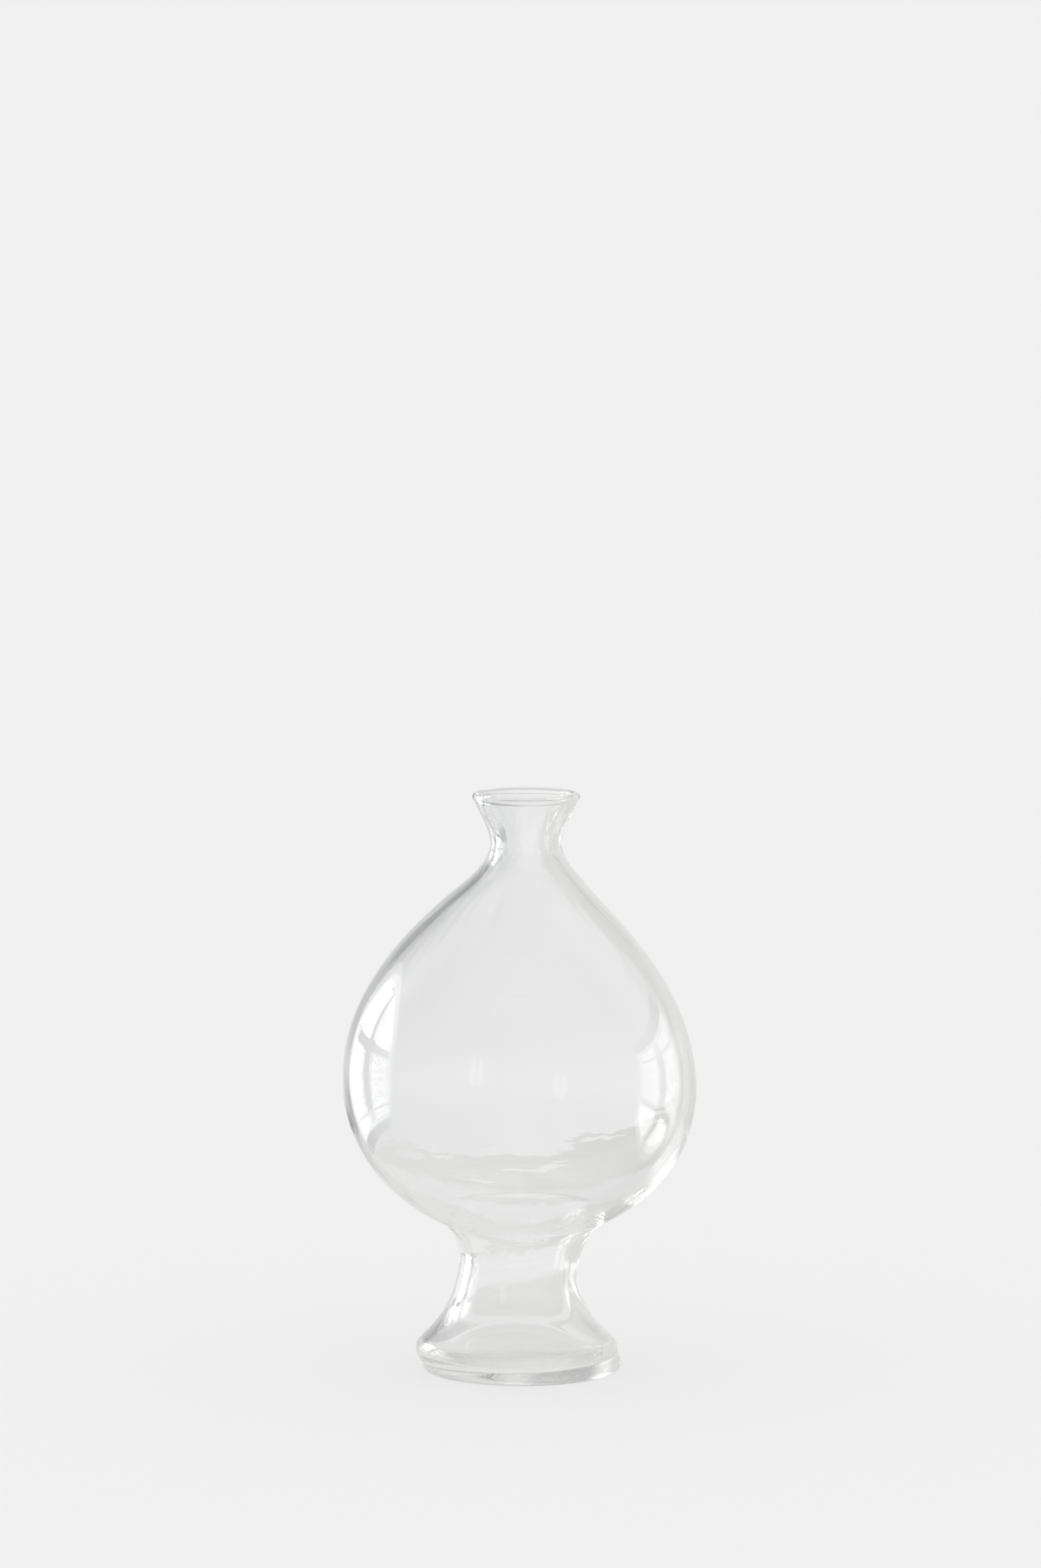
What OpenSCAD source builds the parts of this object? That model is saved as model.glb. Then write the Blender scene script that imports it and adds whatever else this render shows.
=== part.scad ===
// Small footed bud vase of clear blown glass, with its axis on Z and its underside on Z = 0

/* [Lip] */
// Outer diameter over the fire-polished bead
lip_d = 31.4; // [29:0.1:36]
// Thickness of the bead
bead_d = 2.5; // [2.2:0.1:3.2]

/* [Neck] */
// Height from the shoulder seal to the top of the lip
neck_h = 23.2; // [20:0.1:32]
// Outer diameter at the throat
throat_d = 20.8; // [18:0.1:24]
// Height of the throat above the shoulder seal
throat_h = 8.3; // [6:0.1:11]
// Lean of the flared wall below the bead, from upright
flare_lean = 20; // [10:1:32]
// Glass thickness just below the bead
rim_wall = 1.9; // [1.4:0.1:2.1]
// Glass thickness at the throat
throat_wall = 2.9; // [2:0.1:3.6]

/* [Bulb] */
// Height from the foot seal to the shoulder seal
bulb_h = 102.8; // [90:0.1:120]
// Outer diameter at the belly
belly_d = 103.3; // [85:0.1:120]
// Height of the belly above the foot seal
belly_h = 40.9; // [35:0.1:50]
// Outer diameter at the shoulder seal
shoulder_d = 29; // [27:0.1:33]
// Lean of the wall at the shoulder seal, from upright
shoulder_lean = 41; // [32:1:50]
// Glass thickness at the shoulder seal
shoulder_wall = 2.7; // [2:0.1:3.4]
// Glass thickness at the belly
belly_wall = 1.7; // [1.2:0.1:2.4]

/* [Foot] */
// Height of the foot seal above the underside
foot_h = 44; // [40:0.1:50]
// Outer diameter at the foot seal
seal_d = 49; // [45:0.1:55]
// Lean of the wall at the foot seal, from upright
seal_lean = 65; // [56:1:72]
// Outer diameter at the waist
waist_d = 35.3; // [31:0.1:39]
// Height of the waist above the underside
waist_h = 31.2; // [27:0.1:35]
// Outer diameter at the widest ring of the foot
foot_d = 59.1; // [54:0.1:68]
// Glass thickness at the foot seal
seal_wall = 2.4; // [1.8:0.1:3]
// Glass thickness at the waist
waist_wall = 3; // [2.2:0.1:3.8]
// Glass thickness at the widest ring
foot_wall = 2.6; // [1.8:0.1:3.2]

/* [Base] */
// Height of the widest ring, where the disc is sealed on
edge_h = 6.5; // [5:0.1:8.5]
// Height of the inside floor
floor_h = 3.3; // [2.4:0.1:4.2]
// Outer diameter of the flat ring that it stands on
stand_d = 55.4; // [51:0.1:57]
// Diameter of the kick in the underside
kick_d = 46; // [40:0.1:49]
// Height of the kick in the middle
kick_h = 0.9; // [0.4:0.1:1.5]

/* [Smoothness] */
// Steps along each curve of the bulb
bulb_steps = 24; // [12:1:36]
// Steps along each of the shorter curves
short_steps = 12; // [8:1:20]
// Segments round the axis
$fn = 120; // [60:12:180]

/* [Hidden] */

// Pull of each curve at its upper and lower end, as shares of the curve's height
flare_shares = [0.3, 0.31];
throat_shares = [0.31, 0.47];
shoulder_shares = [0.2, 0.51];
belly_shares = [0.56, 0.31];
seal_shares = [0.22, 0.58];
foot_shares = [0.68, 0.15];
foot_inside_shares = [0.76, 0.12];
edge_shares = [0.67, 0.67];

glass = [0.84, 0.9, 0.9, 0.5];
base_glass = [0.74, 0.83, 0.82, 0.6];

// Heights of the stations from the underside up
shoulder_z = foot_h + bulb_h;
height = shoulder_z + neck_h;

// Directions of the wall, going down it
straight = [0, -1];
flare_way = down_way(-flare_lean);
shoulder_way = down_way(shoulder_lean);
seal_way = down_way(-seal_lean);

// The bead is cut flat where the wall below it is as thick as the cut is wide
bead_centre = [(lip_d - bead_d) / 2, height - bead_d / 2];
bead_drop = sqrt(bead_d * bead_d - rim_wall * rim_wall) / 2;

// Stations on the outside of the wall, each a radius and a height
rim_at = bead_centre + flare_way * bead_drop + outward(flare_way) * rim_wall / 2;
throat_at = [throat_d / 2, shoulder_z + throat_h];
shoulder_at = [shoulder_d / 2, shoulder_z];
belly_at = [belly_d / 2, foot_h + belly_h];
seal_at = [seal_d / 2, foot_h];
waist_at = [waist_d / 2, waist_h];
edge_at = [foot_d / 2, edge_h];

// Stations inside the foot
waist_inside_at = [waist_d / 2 - waist_wall, waist_h];
edge_inside_at = [foot_d / 2 - foot_wall, edge_h];

// Curves of the outside, from the lip down to the standing ring
flare_curve = span(rim_at, flare_way, throat_at, straight, flare_shares);
throat_curve = span(throat_at, straight, shoulder_at, shoulder_way, throat_shares);
shoulder_curve = span(shoulder_at, shoulder_way, belly_at, straight, shoulder_shares);
belly_curve = span(belly_at, straight, seal_at, seal_way, belly_shares);
seal_curve = span(seal_at, seal_way, waist_at, straight, seal_shares);
foot_curve = span(waist_at, straight, edge_at, straight, foot_shares);
foot_inside_curve = span(waist_inside_at, straight, edge_inside_at, straight, foot_inside_shares);

// Direction that goes down a wall with this lean, outwards where the lean is positive
function down_way(lean) = [sin(lean), -cos(lean)];

// Unit normal that points out of the glass, for a direction that goes down the wall
function outward(way) = [-way[1], way[0]] / norm(way);

// Cubic curve from an upper to a lower station, tangent to the wall at both
function span(upper, upper_way, lower, lower_way, shares) =
    let (rise = upper[1] - lower[1])
    [upper, upper + upper_way * rise * shares[0], lower - lower_way * rise * shares[1], lower];

// Point and direction on a cubic curve at t from 0 to 1
function at(c, t) =
    let (u = 1 - t)
    u * u * u * c[0] + 3 * u * u * t * c[1] + 3 * u * t * t * c[2] + t * t * t * c[3];
function way_at(c, t) =
    let (u = 1 - t)
    u * u * (c[1] - c[0]) + 2 * u * t * (c[2] - c[1]) + t * t * (c[3] - c[2]);

// Thickness that eases from one station's wall to the next one's
function eased(wall_a, wall_b, t) = wall_a + (wall_b - wall_a) * t * t * (3 - 2 * t);

// Points along a curve, and along the inside of the wall behind it
function line(c, steps) = [for (i = [0:steps]) at(c, i / steps)];
function inside_line(c, wall_a, wall_b, steps) =
    [for (i = [0:steps])
        let (t = i / steps)
        at(c, t) - outward(way_at(c, t)) * eased(wall_a, wall_b, t)];

// Two lines that share an end point, joined, and a line the other way round
function joined(a, b) = concat(a, [for (i = [1:len(b) - 1]) b[i]]);
function reversed(a) = [for (i = [len(a) - 1:-1:0]) a[i]];

// Ring of glass between an outside and an inside line that run down the wall together
module ring_between(outside, inside) {
    rotate_extrude()
        polygon(concat(outside, reversed(inside)));
}

// Fire-polished bead round the mouth
module lip() {
    color(glass)
        rotate_extrude()
            translate(bead_centre)
                rotate(-flare_lean)
                    intersection() {
                        circle(d = bead_d);
                        translate([-bead_d, -bead_drop])
                            square(bead_d * 2);
                    }
}

// Flared throat, from the bead to the shoulder seal
module neck() {
    outside = joined(line(flare_curve, short_steps), line(throat_curve, short_steps));
    inside = joined(
        inside_line(flare_curve, rim_wall, throat_wall, short_steps),
        inside_line(throat_curve, throat_wall, shoulder_wall, short_steps)
    );
    color(glass) ring_between(outside, inside);
}

// Thin blown body, from the shoulder seal to the foot seal
module bulb() {
    outside = joined(line(shoulder_curve, bulb_steps), line(belly_curve, bulb_steps));
    inside = joined(
        inside_line(shoulder_curve, shoulder_wall, belly_wall, bulb_steps),
        inside_line(belly_curve, belly_wall, seal_wall, bulb_steps)
    );
    color(glass) ring_between(outside, inside);
}

// Hollow pedestal, from the foot seal to its widest ring
module foot() {
    outside = joined(line(seal_curve, short_steps), line(foot_curve, short_steps));
    inside = joined(
        inside_line(seal_curve, seal_wall, waist_wall, short_steps),
        line(foot_inside_curve, short_steps)
    );
    color(glass) ring_between(outside, inside);
}

// Thick disc that closes the foot, with a filled inside corner and a shallow kick
module base() {
    corner_r = edge_h - floor_h;
    corner_at = edge_inside_at - [corner_r, 0];
    corner = [for (i = [0:short_steps])
        let (a = 90 * i / short_steps)
        corner_at + corner_r * [sin(a), -cos(a)]];
    stand_at = [stand_d / 2, 0];
    edge = line([
        edge_at,
        edge_at - [0, edge_h * edge_shares[0]],
        stand_at + [(foot_d - stand_d) / 2 * edge_shares[1], 0],
        stand_at
    ], short_steps);
    kick_r = (kick_d * kick_d / 4 + kick_h * kick_h) / (2 * kick_h);
    kick_turn = asin(kick_d / 2 / kick_r);
    kick = [for (i = [0:short_steps])
        let (a = kick_turn * (1 - i / short_steps))
        [kick_r * sin(a), kick_h - kick_r * (1 - cos(a))]];
    color(base_glass)
        rotate_extrude()
            polygon(concat([[0, floor_h]], corner, edge, kick));
}

lip();
neck();
bulb();
foot();
base();
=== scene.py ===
"""Looks of a small footed bud vase of clear blown glass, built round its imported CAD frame."""

import logging
import math
from dataclasses import dataclass, field, replace
from enum import Enum
from typing import Any, ClassVar, Sequence, TypeAlias

import bmesh
import bpy
from bpy.types import Material, Mesh, Node, NodeSocket, NodeTree, Object
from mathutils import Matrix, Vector


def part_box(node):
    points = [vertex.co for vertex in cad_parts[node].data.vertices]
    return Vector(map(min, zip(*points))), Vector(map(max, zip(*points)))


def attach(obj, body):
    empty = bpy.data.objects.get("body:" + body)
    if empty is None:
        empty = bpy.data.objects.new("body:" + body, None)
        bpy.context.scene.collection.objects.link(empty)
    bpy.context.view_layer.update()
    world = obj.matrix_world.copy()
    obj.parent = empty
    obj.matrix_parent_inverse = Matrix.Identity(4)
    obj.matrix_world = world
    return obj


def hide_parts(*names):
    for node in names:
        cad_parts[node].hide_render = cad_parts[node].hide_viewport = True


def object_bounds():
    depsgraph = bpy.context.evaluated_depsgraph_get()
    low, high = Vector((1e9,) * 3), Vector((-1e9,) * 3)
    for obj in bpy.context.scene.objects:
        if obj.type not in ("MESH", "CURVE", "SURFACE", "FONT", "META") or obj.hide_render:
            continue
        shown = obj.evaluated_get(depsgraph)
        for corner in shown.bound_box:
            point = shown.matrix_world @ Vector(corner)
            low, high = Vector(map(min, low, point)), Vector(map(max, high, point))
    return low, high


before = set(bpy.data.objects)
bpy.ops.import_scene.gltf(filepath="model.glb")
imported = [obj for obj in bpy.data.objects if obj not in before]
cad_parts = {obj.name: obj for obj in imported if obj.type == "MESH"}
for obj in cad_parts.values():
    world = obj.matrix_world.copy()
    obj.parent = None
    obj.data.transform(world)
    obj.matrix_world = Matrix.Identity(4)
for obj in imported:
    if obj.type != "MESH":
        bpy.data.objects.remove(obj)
CAD_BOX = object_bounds()

MM = 0.001
BODY = "root"
WHITE = (1.0, 1.0, 1.0, 1.0)
SEAL_MARK = "seal"
WELD_DISTANCE = 1e-7
MIX_COLOURS = (6, 7)
MIX_RESULT = 2
STRAIGHT_SIZES = ("From Radius", "From Height", "To Radius", "To Height")
ARC_SIZES = ("Centre Radius", "Centre Height", "Radius", "Start", "Sweep")

Amount: TypeAlias = "Value | float"
Ring: TypeAlias = "dict[str, Value]"
Settings: TypeAlias = dict[str, Any] | None
Inputs: TypeAlias = dict[str | int, Any] | None
Pair: TypeAlias = tuple[float, float]
Colour: TypeAlias = tuple[float, float, float, float]

log = logging.getLogger("vase")


class Line(Enum):
    """The kinds of line that are turned round the axis."""

    WALL = "wall"
    SEAL = "seal"
    STRAIGHT = "straight"
    ARC = "arc"


class Value:
    """A node's output that Python's operators work on. Each operation adds a Math node."""

    def __init__(self, tree: "Tree", socket: NodeSocket) -> None:
        """Keeps the socket and the tree that it is in."""
        self.tree = tree
        self.socket = socket

    def __add__(self, other: Amount) -> "Value":
        """Sum of this value and another."""
        return self.tree.math("ADD", self, other)

    __radd__ = __add__

    def __sub__(self, other: Amount) -> "Value":
        """This value less another."""
        return self.tree.math("SUBTRACT", self, other)

    def __rsub__(self, other: Amount) -> "Value":
        """A number less this value."""
        return self.tree.math("SUBTRACT", other, self)

    def __mul__(self, other: Amount) -> "Value":
        """Product of this value and another."""
        return self.tree.math("MULTIPLY", self, other)

    __rmul__ = __mul__

    def __truediv__(self, other: Amount) -> "Value":
        """This value over another."""
        return self.tree.math("DIVIDE", self, other)

    def __neg__(self) -> "Value":
        """This value with its sign turned."""
        return self.tree.math("MULTIPLY", self, -1.0)


class Tree:
    """A node tree that is filled from expressions and from one method for any other node."""

    def __init__(self, tree: NodeTree) -> None:
        """Keeps the node tree that this wraps."""
        self.tree = tree

    def node(self, kind: str, settings: Settings = None, inputs: Inputs = None) -> Node:
        """Adds a node.

        Args:
            kind: Blender's name for the type of node.
            settings: what is set on the node first; "points" fills a float curve.
            inputs: values or links, by the socket's name or number.

        Returns:
            The new node.
        """
        made = self.tree.nodes.new(kind)
        for name, setting in (settings or {}).items():
            if name == "points":
                self._set_points(made, setting)
            else:
                setattr(made, name, setting)
        for key, value in (inputs or {}).items():
            self.feed(made.inputs[key], value)
        return made

    def feed(self, socket: NodeSocket, value: Any) -> None:
        """Links a value to a socket, or sets a plain one on it.

        Args:
            socket: a node's input.
            value: another node's output, or what the input is set to.
        """
        if isinstance(value, Value):
            self.tree.links.new(value.socket, socket)
        elif isinstance(value, NodeSocket):
            self.tree.links.new(value, socket)
        else:
            socket.default_value = value

    def value(
        self, kind: str, settings: Settings = None, inputs: Inputs = None, output: str | int = 0
    ) -> Value:
        """Adds a node as the node method does, and returns one of its outputs."""
        return Value(self, self.node(kind, settings, inputs).outputs[output])

    def math(self, operation: str, *terms: Amount) -> Value:
        """Adds a Math node for an operation on one to three terms."""
        return self.value("ShaderNodeMath", {"operation": operation}, dict(enumerate(terms)))

    def sin(self, angle: Value) -> Value:
        """Sine of an angle in radians."""
        return self.math("SINE", angle)

    def cos(self, angle: Value) -> Value:
        """Cosine of an angle in radians."""
        return self.math("COSINE", angle)

    def eased(self, value: Amount, low: Amount, high: Amount) -> Value:
        """0 below low, 1 above high, and a smooth step between them."""
        settings = {"interpolation_type": "SMOOTHSTEP"}
        return self.value("ShaderNodeMapRange", settings, {0: value, 1: low, 2: high})

    def faded(self, value: Amount, low: Amount, high: Amount) -> Value:
        """1 below low, 0 above high, and a smooth step between them."""
        return 1.0 - self.eased(value, low, high)

    def split(self, vector: Value) -> tuple[Value, Value, Value]:
        """X, Y and Z of a vector."""
        made = self.node("ShaderNodeSeparateXYZ", None, {0: vector})
        return Value(self, made.outputs[0]), Value(self, made.outputs[1]), Value(self, made.outputs[2])

    def joined(self, x: Amount, y: Amount, z: Amount) -> Value:
        """Vector with these three parts."""
        return self.value("ShaderNodeCombineXYZ", None, {0: x, 1: y, 2: z})

    def outward(self, x: Value, y: Value) -> Value:
        """Level direction away from the axis."""
        return self.value("ShaderNodeVectorMath", {"operation": "NORMALIZE"}, {0: self.joined(x, y, 0.0)})

    def noise(self, place: Value, scale: float, detail: float = 2.0) -> Value:
        """Smooth noise from -0.5 to 0.5 at a place, with its scale in cells a metre."""
        inputs = {"Vector": place, "Scale": scale, "Detail": detail}
        return self.value("ShaderNodeTexNoise", None, inputs) - 0.5

    def mixed(self, factor: Amount, low: Any, high: Any) -> Value:
        """Colour from low to high."""
        inputs = {0: factor, MIX_COLOURS[0]: low, MIX_COLOURS[1]: high}
        return self.value("ShaderNodeMix", {"data_type": "RGBA", "clamp_factor": True}, inputs, MIX_RESULT)

    def either(self, factor: Amount, first: Node, second: Node) -> Node:
        """Mix Shader from the first to the second shader."""
        return self.node("ShaderNodeMixShader", None, {0: factor, 1: first.outputs[0], 2: second.outputs[0]})

    def ray(self, output: str) -> Value:
        """One of the facts about the ray that is being followed."""
        return self.value("ShaderNodeLightPath", None, None, output)

    def glow(self, colour: Any, strength: Amount = 1.0) -> Node:
        """Emission shader."""
        return self.node("ShaderNodeEmission", None, {"Color": colour, "Strength": strength})

    @staticmethod
    def _set_points(node: Node, points: Sequence[tuple[float, float]]) -> None:
        """Fills a float curve.

        Args:
            node: the curve's node.
            points: its points, in rising order.
        """
        curve = node.mapping.curves[0]
        while len(curve.points) < len(points):
            curve.points.new(0.5, 0.5)
        for point, place in zip(curve.points, points):
            point.location = place
        node.mapping.update()


class SurfaceTree(Tree):
    """The node tree of a new material."""

    def __init__(self, name: str) -> None:
        """Makes the material and empties its tree.

        Args:
            name: the material's name.
        """
        self.material = bpy.data.materials.new(name)
        self.material.use_nodes = True
        super().__init__(self.material.node_tree)
        self.tree.nodes.clear()

    def place(self) -> Value:
        """Object coordinates."""
        return self.value("ShaderNodeTexCoord", None, None, "Object")

    def finish(self, shader: Node) -> Material:
        """Links the material's surface and returns the material."""
        self.node("ShaderNodeOutputMaterial", None, {"Surface": shader.outputs[0]})
        return self.material


@dataclass(frozen=True)
class Station:
    """A ring on the outside of the wall, with the lean of the wall there, from upright."""

    radius: float
    height: float
    lean: float = 0.0

    @property
    def way(self) -> Pair:
        """Direction down the wall, as a radius and a height."""
        lean = math.radians(self.lean)
        return math.sin(lean), -math.cos(lean)


class ShapeTree(Tree):
    """A Geometry Nodes group whose sizes are named inputs."""

    def __init__(self, name: str) -> None:
        """Makes an empty group with a geometry output.

        Args:
            name: the group's name.
        """
        group = bpy.data.node_groups.new(name, "GeometryNodeTree")
        group.is_modifier = True
        super().__init__(group)
        self.entry = self.node("NodeGroupInput")
        self.values: dict[str, Any] = {}
        group.interface.new_socket("Geometry", in_out="OUTPUT", socket_type="NodeSocketGeometry")

    def input(self, name: str, value: Any = None, kind: str = "Float") -> Value:
        """Adds a named input and keeps the value that the modifier gives it.

        Args:
            name: the input's name.
            value: what the modifier sets, or None in a group that another tree uses.
            kind: the socket's type, such as Float, Int, Material or Geometry.

        Returns:
            The value inside the group.
        """
        item = self.tree.interface.new_socket(name, in_out="INPUT", socket_type="NodeSocket" + kind)
        if value is not None:
            self.values[item.identifier] = value
        found = next(s for s in self.entry.outputs if s.identifier == item.identifier)
        return Value(self, found)

    def station(self, name: str, station: Station) -> Ring:
        """Adds a station's three sizes as named inputs."""
        return {
            "Radius": self.input(f"{name} Radius", station.radius),
            "Height": self.input(f"{name} Height", station.height),
            "Lean": self.input(f"{name} Lean", math.radians(station.lean)),
        }

    def finish(self, geometry: Any) -> NodeTree:
        """Links the group's output and returns the group."""
        self.node("NodeGroupOutput", None, {0: geometry})
        return self.tree


@dataclass(frozen=True)
class Turning:
    """The groups that turn a line of the vase's section round its axis."""

    segments: int = 256
    streaks: float = 3.0
    streak_change: float = 2.0

    def groups(self) -> dict[Line, NodeTree]:
        """Makes the group for each kind of line."""
        return {
            Line.WALL: self.wall(),
            Line.SEAL: self.seal(),
            Line.STRAIGHT: self.straight(),
            Line.ARC: self.arc(),
        }

    def _grid(self, tree: ShapeTree) -> tuple[Any, Value, Value]:
        """Adds a grid to a group.

        Args:
            tree: the group.

        Returns:
            The grid, and its share along the line and its angle round the axis as fields.
        """
        steps = tree.input("Steps", None, "Int")
        segments = tree.input("Segments", None, "Int")
        sizes = {"Size X": 1.0, "Size Y": 1.0, "Vertices X": steps + 1.0, "Vertices Y": segments + 1.0}
        grid = tree.node("GeometryNodeMeshGrid", None, sizes)
        across, around, _ = tree.split(tree.value("GeometryNodeInputPosition"))
        return grid.outputs["Mesh"], across + 0.5, (around + 0.5) * math.tau

    def _turned(
        self, tree: ShapeTree, grid: Any, turn: Value, radius: Value, height: Value
    ) -> NodeTree:
        """Ends a group with its grid set at a radius, an angle and a height."""
        place = tree.joined(radius * tree.cos(turn), radius * tree.sin(turn), height)
        return tree.finish(tree.value("GeometryNodeSetPosition", None, {"Geometry": grid, "Position": place}))

    def wall(self) -> NodeTree:
        """Makes the group for a wall from an upper to a lower station, tangent to the wall at both.

        Returns:
            The group. It sets the wall in from the stations by a distance that eases from one to the other,
            and that is uneven between them as hand-blown glass is.
        """
        tree = ShapeTree("turned_wall")
        names = ("Radius", "Height", "Lean", "Pull", "Inset")
        top = {name: tree.input(f"Upper {name}") for name in names}
        low = {name: tree.input(f"Lower {name}") for name in names}
        uneven = tree.input("Uneven")
        grid, share, turn = self._grid(tree)
        rest = 1.0 - share
        rise = top["Height"] - low["Height"]
        parts = {}
        slopes = {}
        for name, along in (("Radius", tree.sin), ("Height", lambda lean: -tree.cos(lean))):
            first = top[name] + along(top["Lean"]) * rise * top["Pull"]
            second = low[name] - along(low["Lean"]) * rise * low["Pull"]
            parts[name] = (
                rest * rest * rest * top[name]
                + 3.0 * (rest * rest * share * first + rest * share * share * second)
                + share * share * share * low[name]
            )
            slopes[name] = (
                rest * rest * (first - top[name])
                + 2.0 * (rest * share * (second - first))
                + share * share * (low[name] - second)
            )
        length = tree.math("SQRT", slopes["Radius"] * slopes["Radius"] + slopes["Height"] * slopes["Height"])
        inset = top["Inset"] + (low["Inset"] - top["Inset"]) * share * share * (3.0 - 2.0 * share)
        x, y = tree.cos(turn) * self.streaks, tree.sin(turn) * self.streaks
        around = tree.joined(x, y, share * self.streak_change)
        inset = inset * (1.0 + uneven * 4.0 * share * rest * tree.noise(around, 1.0))
        radius = parts["Radius"] + slopes["Height"] / length * inset
        height = parts["Height"] - slopes["Radius"] / length * inset
        return self._turned(tree, grid, turn, radius, height)

    def seal(self) -> NodeTree:
        """Makes the group for the flat face across the wall at a station.

        Returns:
            The group.
        """
        tree = ShapeTree("turned_seal")
        radius, height, lean, thickness = (tree.input(name) for name in ("Radius", "Height", "Lean", "Wall"))
        grid, share, turn = self._grid(tree)
        depth = thickness * share
        radius = radius - tree.cos(lean) * depth
        return self._turned(tree, grid, turn, radius, height - tree.sin(lean) * depth)

    def straight(self) -> NodeTree:
        """Makes the group for a straight line from one radius and height to another.

        Returns:
            The group.
        """
        tree = ShapeTree("turned_line")
        radius, height, last_radius, last_height = (tree.input(name) for name in STRAIGHT_SIZES)
        grid, share, turn = self._grid(tree)
        radius = radius + (last_radius - radius) * share
        return self._turned(tree, grid, turn, radius, height + (last_height - height) * share)

    def arc(self) -> NodeTree:
        """Makes the group for a round line about a centre, from a start angle through a sweep.

        Returns:
            The group.
        """
        tree = ShapeTree("turned_arc")
        centre, height, radius, start, sweep = (tree.input(name) for name in ARC_SIZES)
        grid, share, turn = self._grid(tree)
        angle = start + sweep * share
        across = centre + radius * tree.cos(angle)
        return self._turned(tree, grid, turn, across, height + radius * tree.sin(angle))


@dataclass(frozen=True)
class HandBlown:
    """How far the real, hand-made wall strays from a true body of revolution.

    The drift is how far its centre line lies to the side, by height, both in millimetres. Every piece is bent
    by the same rule, so the seals between them still meet.
    """

    drift: tuple[Pair, ...] = (
        (0.0, 0.5),
        (3.0, -0.2),
        (7.0, -1.2),
        (14.0, -1.4),
        (32.0, -0.3),
        (46.0, 0.6),
        (78.0, -0.1),
        (112.0, -0.8),
        (136.0, 0.0),
        (152.0, 1.6),
        (170.0, 1.6),
    )
    drift_range: float = 2.0 * MM
    ripple: float = 0.10 * MM
    ripple_scale: float = 22.0
    ripple_detail: float = 1.0

    def group(self) -> NodeTree:
        """Makes the group that bends a piece.

        Returns:
            The group.
        """
        tree = ShapeTree("hand_blown")
        shape = tree.input("Geometry", None, "Geometry")
        full = tree.input("Full Height")
        ripple = tree.input("Ripple")
        place = tree.value("GeometryNodeInputPosition")
        x, y, z = tree.split(place)
        top = self.drift[-1][0]
        points = [(height / top, 0.5 + side * MM / self.drift_range / 2) for height, side in self.drift]
        side = tree.value("ShaderNodeFloatCurve", {"points": points}, {"Value": z / full})
        wave = tree.noise(place, self.ripple_scale, self.ripple_detail) * ripple
        out = tree.outward(x, y)
        push = tree.node("ShaderNodeVectorMath", {"operation": "SCALE"}, {0: out, "Scale": wave})
        shift = tree.joined((side - 0.5) * (2 * self.drift_range), 0.0, 0.0)
        move = tree.value("ShaderNodeVectorMath", None, {0: push.outputs[0], 1: shift})
        return tree.finish(tree.value("GeometryNodeSetPosition", None, {"Geometry": shape, "Offset": move}))


@dataclass(frozen=True)
class ClearGlass:
    """Fire-polished clear glass with a faint cool tint and slight draw lines.

    Pressed glass has spokes as well. It may be ground below a height, and that band is worn smoother at the
    front and the back.
    """

    tint: Colour = (0.985, 0.988, 0.987, 1.0)
    ior: float = 1.47
    film_scale: float = 40.0
    film_detail: float = 4.0
    line_scale: float = 90.0
    line_stretch: float = 0.18
    line_detail: float = 3.0
    bump_height: float = 0.004 * MM
    spokes: float = 0.0
    spoke_scale: float = 14.0
    spoke_detail: float = 4.0
    ground_h: float = 0.0
    ground_fade: float = 0.6
    ground_roughness: float = 0.0
    worn_roughness: float = 0.18
    worn_reach: Pair = (13.0 * MM, 20.0 * MM)
    name: str = "clear_glass"

    def material(self) -> Material:
        """Makes the material.

        Returns:
            The material.
        """
        tree = SurfaceTree(self.name)
        place = tree.place()
        film = tree.noise(place, self.film_scale, self.film_detail)
        relief = {"Height": self._lines(tree, place), "Distance": self.bump_height}
        inputs = {
            "Base Color": tree.mixed(film + 0.5, self.tint, WHITE),
            "Roughness": self._roughness(tree, place),
            "IOR": self.ior,
            "Transmission Weight": 1.0,
            "Normal": tree.value("ShaderNodeBump", None, relief, "Normal"),
        }
        return tree.finish(tree.node("ShaderNodeBsdfPrincipled", None, inputs))

    def _lines(self, tree: SurfaceTree, place: Value) -> Value:
        """Makes the relief of the glass.

        Args:
            tree: the material's tree.
            place: Object coordinates.

        Returns:
            Height of the draw lines, and of the spokes where the glass has them.
        """
        drawn = {"Vector": place, "Scale": (1.0, 1.0, self.line_stretch)}
        lines = tree.noise(tree.value("ShaderNodeMapping", None, drawn), self.line_scale, self.line_detail)
        if self.spokes > 0.0:
            x, y, _ = tree.split(place)
            lines = lines + tree.noise(tree.outward(x, y), self.spoke_scale, self.spoke_detail) * self.spokes
        return lines

    def _roughness(self, tree: SurfaceTree, place: Value) -> Amount:
        """Makes the roughness.

        Args:
            tree: the material's tree.
            place: Object coordinates.

        Returns:
            The roughness, which is above zero in the ground band alone.
        """
        if self.ground_h <= 0.0:
            return 0.0
        x, _, z = tree.split(place)
        ground = tree.faded(z, self.ground_h * self.ground_fade, self.ground_h)
        rest = tree.eased(tree.math("ABSOLUTE", x), *self.worn_reach)
        return ground * (rest * (self.ground_roughness - self.worn_roughness) + self.worn_roughness)


@dataclass(frozen=True)
class SealedJoint:
    """A seal inside the glass: two pieces melted into one, so nothing of the face itself shows."""

    alpha: float = 0.0

    def material(self) -> Material:
        """Makes the material of the faces where two pieces meet."""
        tree = SurfaceTree("sealed_joint")
        return tree.finish(tree.node("ShaderNodeBsdfPrincipled", None, {"Alpha": self.alpha}))


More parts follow.
